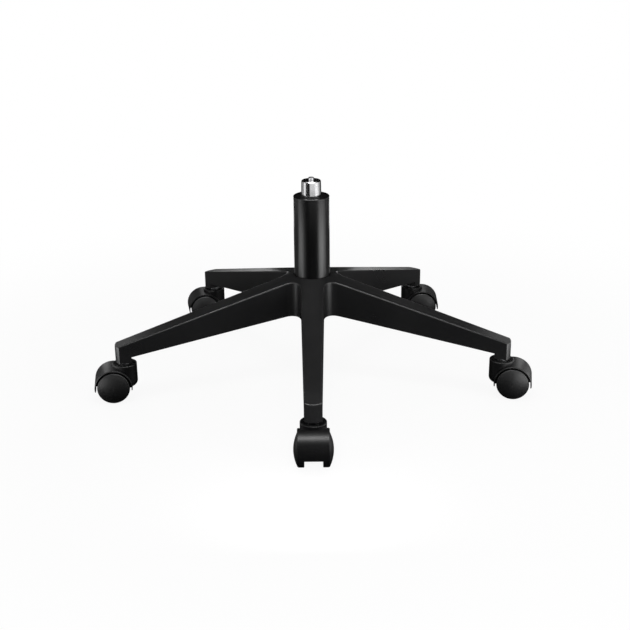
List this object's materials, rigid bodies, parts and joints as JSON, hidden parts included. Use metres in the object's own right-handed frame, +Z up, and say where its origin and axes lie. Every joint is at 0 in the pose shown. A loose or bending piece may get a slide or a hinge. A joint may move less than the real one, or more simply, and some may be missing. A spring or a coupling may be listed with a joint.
{
  "type": "office chair base",
  "caption": "Swivel chair star base: a ribbed moulded hub with tapering arms carries a gas lift column and a twin-wheel caster under each arm tip.",
  "frame": {"origin": "on the floor, on the axis of the column", "axes": "+Z up along the column, -Y along the front arm, +X to the right"},
  "size_m": [0.6086, 0.5603, 0.2889],
  "materials": {
    "star_nylon": "satin black glass-filled nylon with a fine grain",
    "column_paint": "satin black powder coat",
    "bush_plastic": "smooth black acetal",
    "cylinder_chrome": "polished chrome plate",
    "pin_steel": "turned zinc-plated steel",
    "seal_rubber": "plain black rubber",
    "hood_plastic": "satin black nylon",
    "wheel_plastic": "smooth black nylon"
  },
  "bodies": {
    "base": {"star_base": "star_nylon", "column_tube": "column_paint", "guide_bush": "bush_plastic", "bearing_lower_washer": "pin_steel", "bearing_cage": "bush_plastic", "bearing_balls": "pin_steel", "caster_stem_front": "pin_steel", "grip_ring_front": "pin_steel", "caster_stem_right": "pin_steel", "grip_ring_right": "pin_steel", "caster_stem_rear_right": "pin_steel", "grip_ring_rear_right": "pin_steel", "caster_stem_rear_left": "pin_steel", "grip_ring_rear_left": "pin_steel", "caster_stem_left": "pin_steel", "grip_ring_left": "pin_steel"},
    "piston": {"piston_rod": "pin_steel", "piston": "bush_plastic", "piston_seal": "seal_rubber", "bump_stop": "seal_rubber", "bearing_upper_washer": "pin_steel", "retaining_clip": "pin_steel"},
    "cylinder": {"gas_cylinder": "cylinder_chrome", "valve_housing": "bush_plastic", "rod_guide": "bush_plastic", "rod_seal": "seal_rubber"},
    "release_button": {"release_pin": "pin_steel"},
    "caster_front": {"caster_hood_front": "hood_plastic", "wheel_axle_front": "pin_steel"},
    "left_wheel_front": {"left_wheel_front": "wheel_plastic"},
    "right_wheel_front": {"right_wheel_front": "wheel_plastic"},
    "caster_right": {"caster_hood_right": "hood_plastic", "wheel_axle_right": "pin_steel"},
    "left_wheel_right": {"left_wheel_right": "wheel_plastic"},
    "right_wheel_right": {"right_wheel_right": "wheel_plastic"},
    "caster_rear_right": {"caster_hood_rear_right": "hood_plastic", "wheel_axle_rear_right": "pin_steel"},
    "left_wheel_rear_right": {"left_wheel_rear_right": "wheel_plastic"},
    "right_wheel_rear_right": {"right_wheel_rear_right": "wheel_plastic"},
    "caster_rear_left": {"caster_hood_rear_left": "hood_plastic", "wheel_axle_rear_left": "pin_steel"},
    "left_wheel_rear_left": {"left_wheel_rear_left": "wheel_plastic"},
    "right_wheel_rear_left": {"right_wheel_rear_left": "wheel_plastic"},
    "caster_left": {"caster_hood_left": "hood_plastic", "wheel_axle_left": "pin_steel"},
    "left_wheel_left": {"left_wheel_left": "wheel_plastic"},
    "right_wheel_left": {"right_wheel_left": "wheel_plastic"}
  },
  "joints": [
    {"name": "seat_swivel", "type": "hinge", "parent": "base", "child": "piston", "pos_m": [0, 0, 0.0986], "axis": [0, 0, 1], "continuous": true},
    {"name": "seat_lift", "type": "slide", "parent": "piston", "child": "cylinder", "axis": [0, 0, 1], "range_m": [0, 0.1]},
    {"name": "release_press", "type": "slide", "parent": "cylinder", "child": "release_button", "axis": [0, 0, 1], "range_m": [-0.003, 0], "stiffness_N_per_m": 1500},
    {"name": "caster_swivel_front", "type": "hinge", "parent": "base", "child": "caster_front", "pos_m": [0, -0.2729, 0.045], "axis": [0, 0, 1], "continuous": true},
    {"name": "left_wheel_roll_front", "type": "hinge", "parent": "caster_front", "child": "left_wheel_front", "pos_m": [0, -0.2894, 0.02225], "axis": [1, 0, 0], "continuous": true},
    {"name": "right_wheel_roll_front", "type": "hinge", "parent": "caster_front", "child": "right_wheel_front", "pos_m": [0, -0.2894, 0.02225], "axis": [1, 0, 0], "continuous": true},
    {"name": "caster_swivel_right", "type": "hinge", "parent": "base", "child": "caster_right", "pos_m": [0.25954, -0.08433, 0.045], "axis": [0, 0, 1], "continuous": true},
    {"name": "left_wheel_roll_right", "type": "hinge", "parent": "caster_right", "child": "left_wheel_right", "pos_m": [0.27579, -0.0872, 0.02225], "axis": [0.1736, 0.9848, 0], "continuous": true},
    {"name": "right_wheel_roll_right", "type": "hinge", "parent": "caster_right", "child": "right_wheel_right", "pos_m": [0.27579, -0.0872, 0.02225], "axis": [0.1736, 0.9848, 0], "continuous": true},
    {"name": "caster_swivel_rear_right", "type": "hinge", "parent": "base", "child": "caster_rear_right", "pos_m": [0.16041, 0.22078, 0.045], "axis": [0, 0, 1], "continuous": true},
    {"name": "left_wheel_roll_rear_right", "type": "hinge", "parent": "caster_rear_right", "child": "left_wheel_rear_right", "pos_m": [0.1769, 0.22021, 0.02225], "axis": [0.0349, 0.9994, 0], "continuous": true},
    {"name": "right_wheel_roll_rear_right", "type": "hinge", "parent": "caster_rear_right", "child": "right_wheel_rear_right", "pos_m": [0.1769, 0.22021, 0.02225], "axis": [0.0349, 0.9994, 0], "continuous": true},
    {"name": "caster_swivel_rear_left", "type": "hinge", "parent": "base", "child": "caster_rear_left", "pos_m": [-0.16041, 0.22078, 0.045], "axis": [0, 0, 1], "continuous": true},
    {"name": "left_wheel_roll_rear_left", "type": "hinge", "parent": "caster_rear_left", "child": "left_wheel_rear_left", "pos_m": [-0.17666, 0.21792, 0.02225], "axis": [0.1736, -0.9848, 0], "continuous": true},
    {"name": "right_wheel_roll_rear_left", "type": "hinge", "parent": "caster_rear_left", "child": "right_wheel_rear_left", "pos_m": [-0.17666, 0.21792, 0.02225], "axis": [0.1736, -0.9848, 0], "continuous": true},
    {"name": "caster_swivel_left", "type": "hinge", "parent": "base", "child": "caster_left", "pos_m": [-0.25954, -0.08433, 0.045], "axis": [0, 0, 1], "continuous": true},
    {"name": "left_wheel_roll_left", "type": "hinge", "parent": "caster_left", "child": "left_wheel_left", "pos_m": [-0.27588, -0.08663, 0.02225], "axis": [0.1392, -0.9903, 0], "continuous": true},
    {"name": "right_wheel_roll_left", "type": "hinge", "parent": "caster_left", "child": "right_wheel_left", "pos_m": [-0.27588, -0.08663, 0.02225], "axis": [0.1392, -0.9903, 0], "continuous": true}
  ]
}
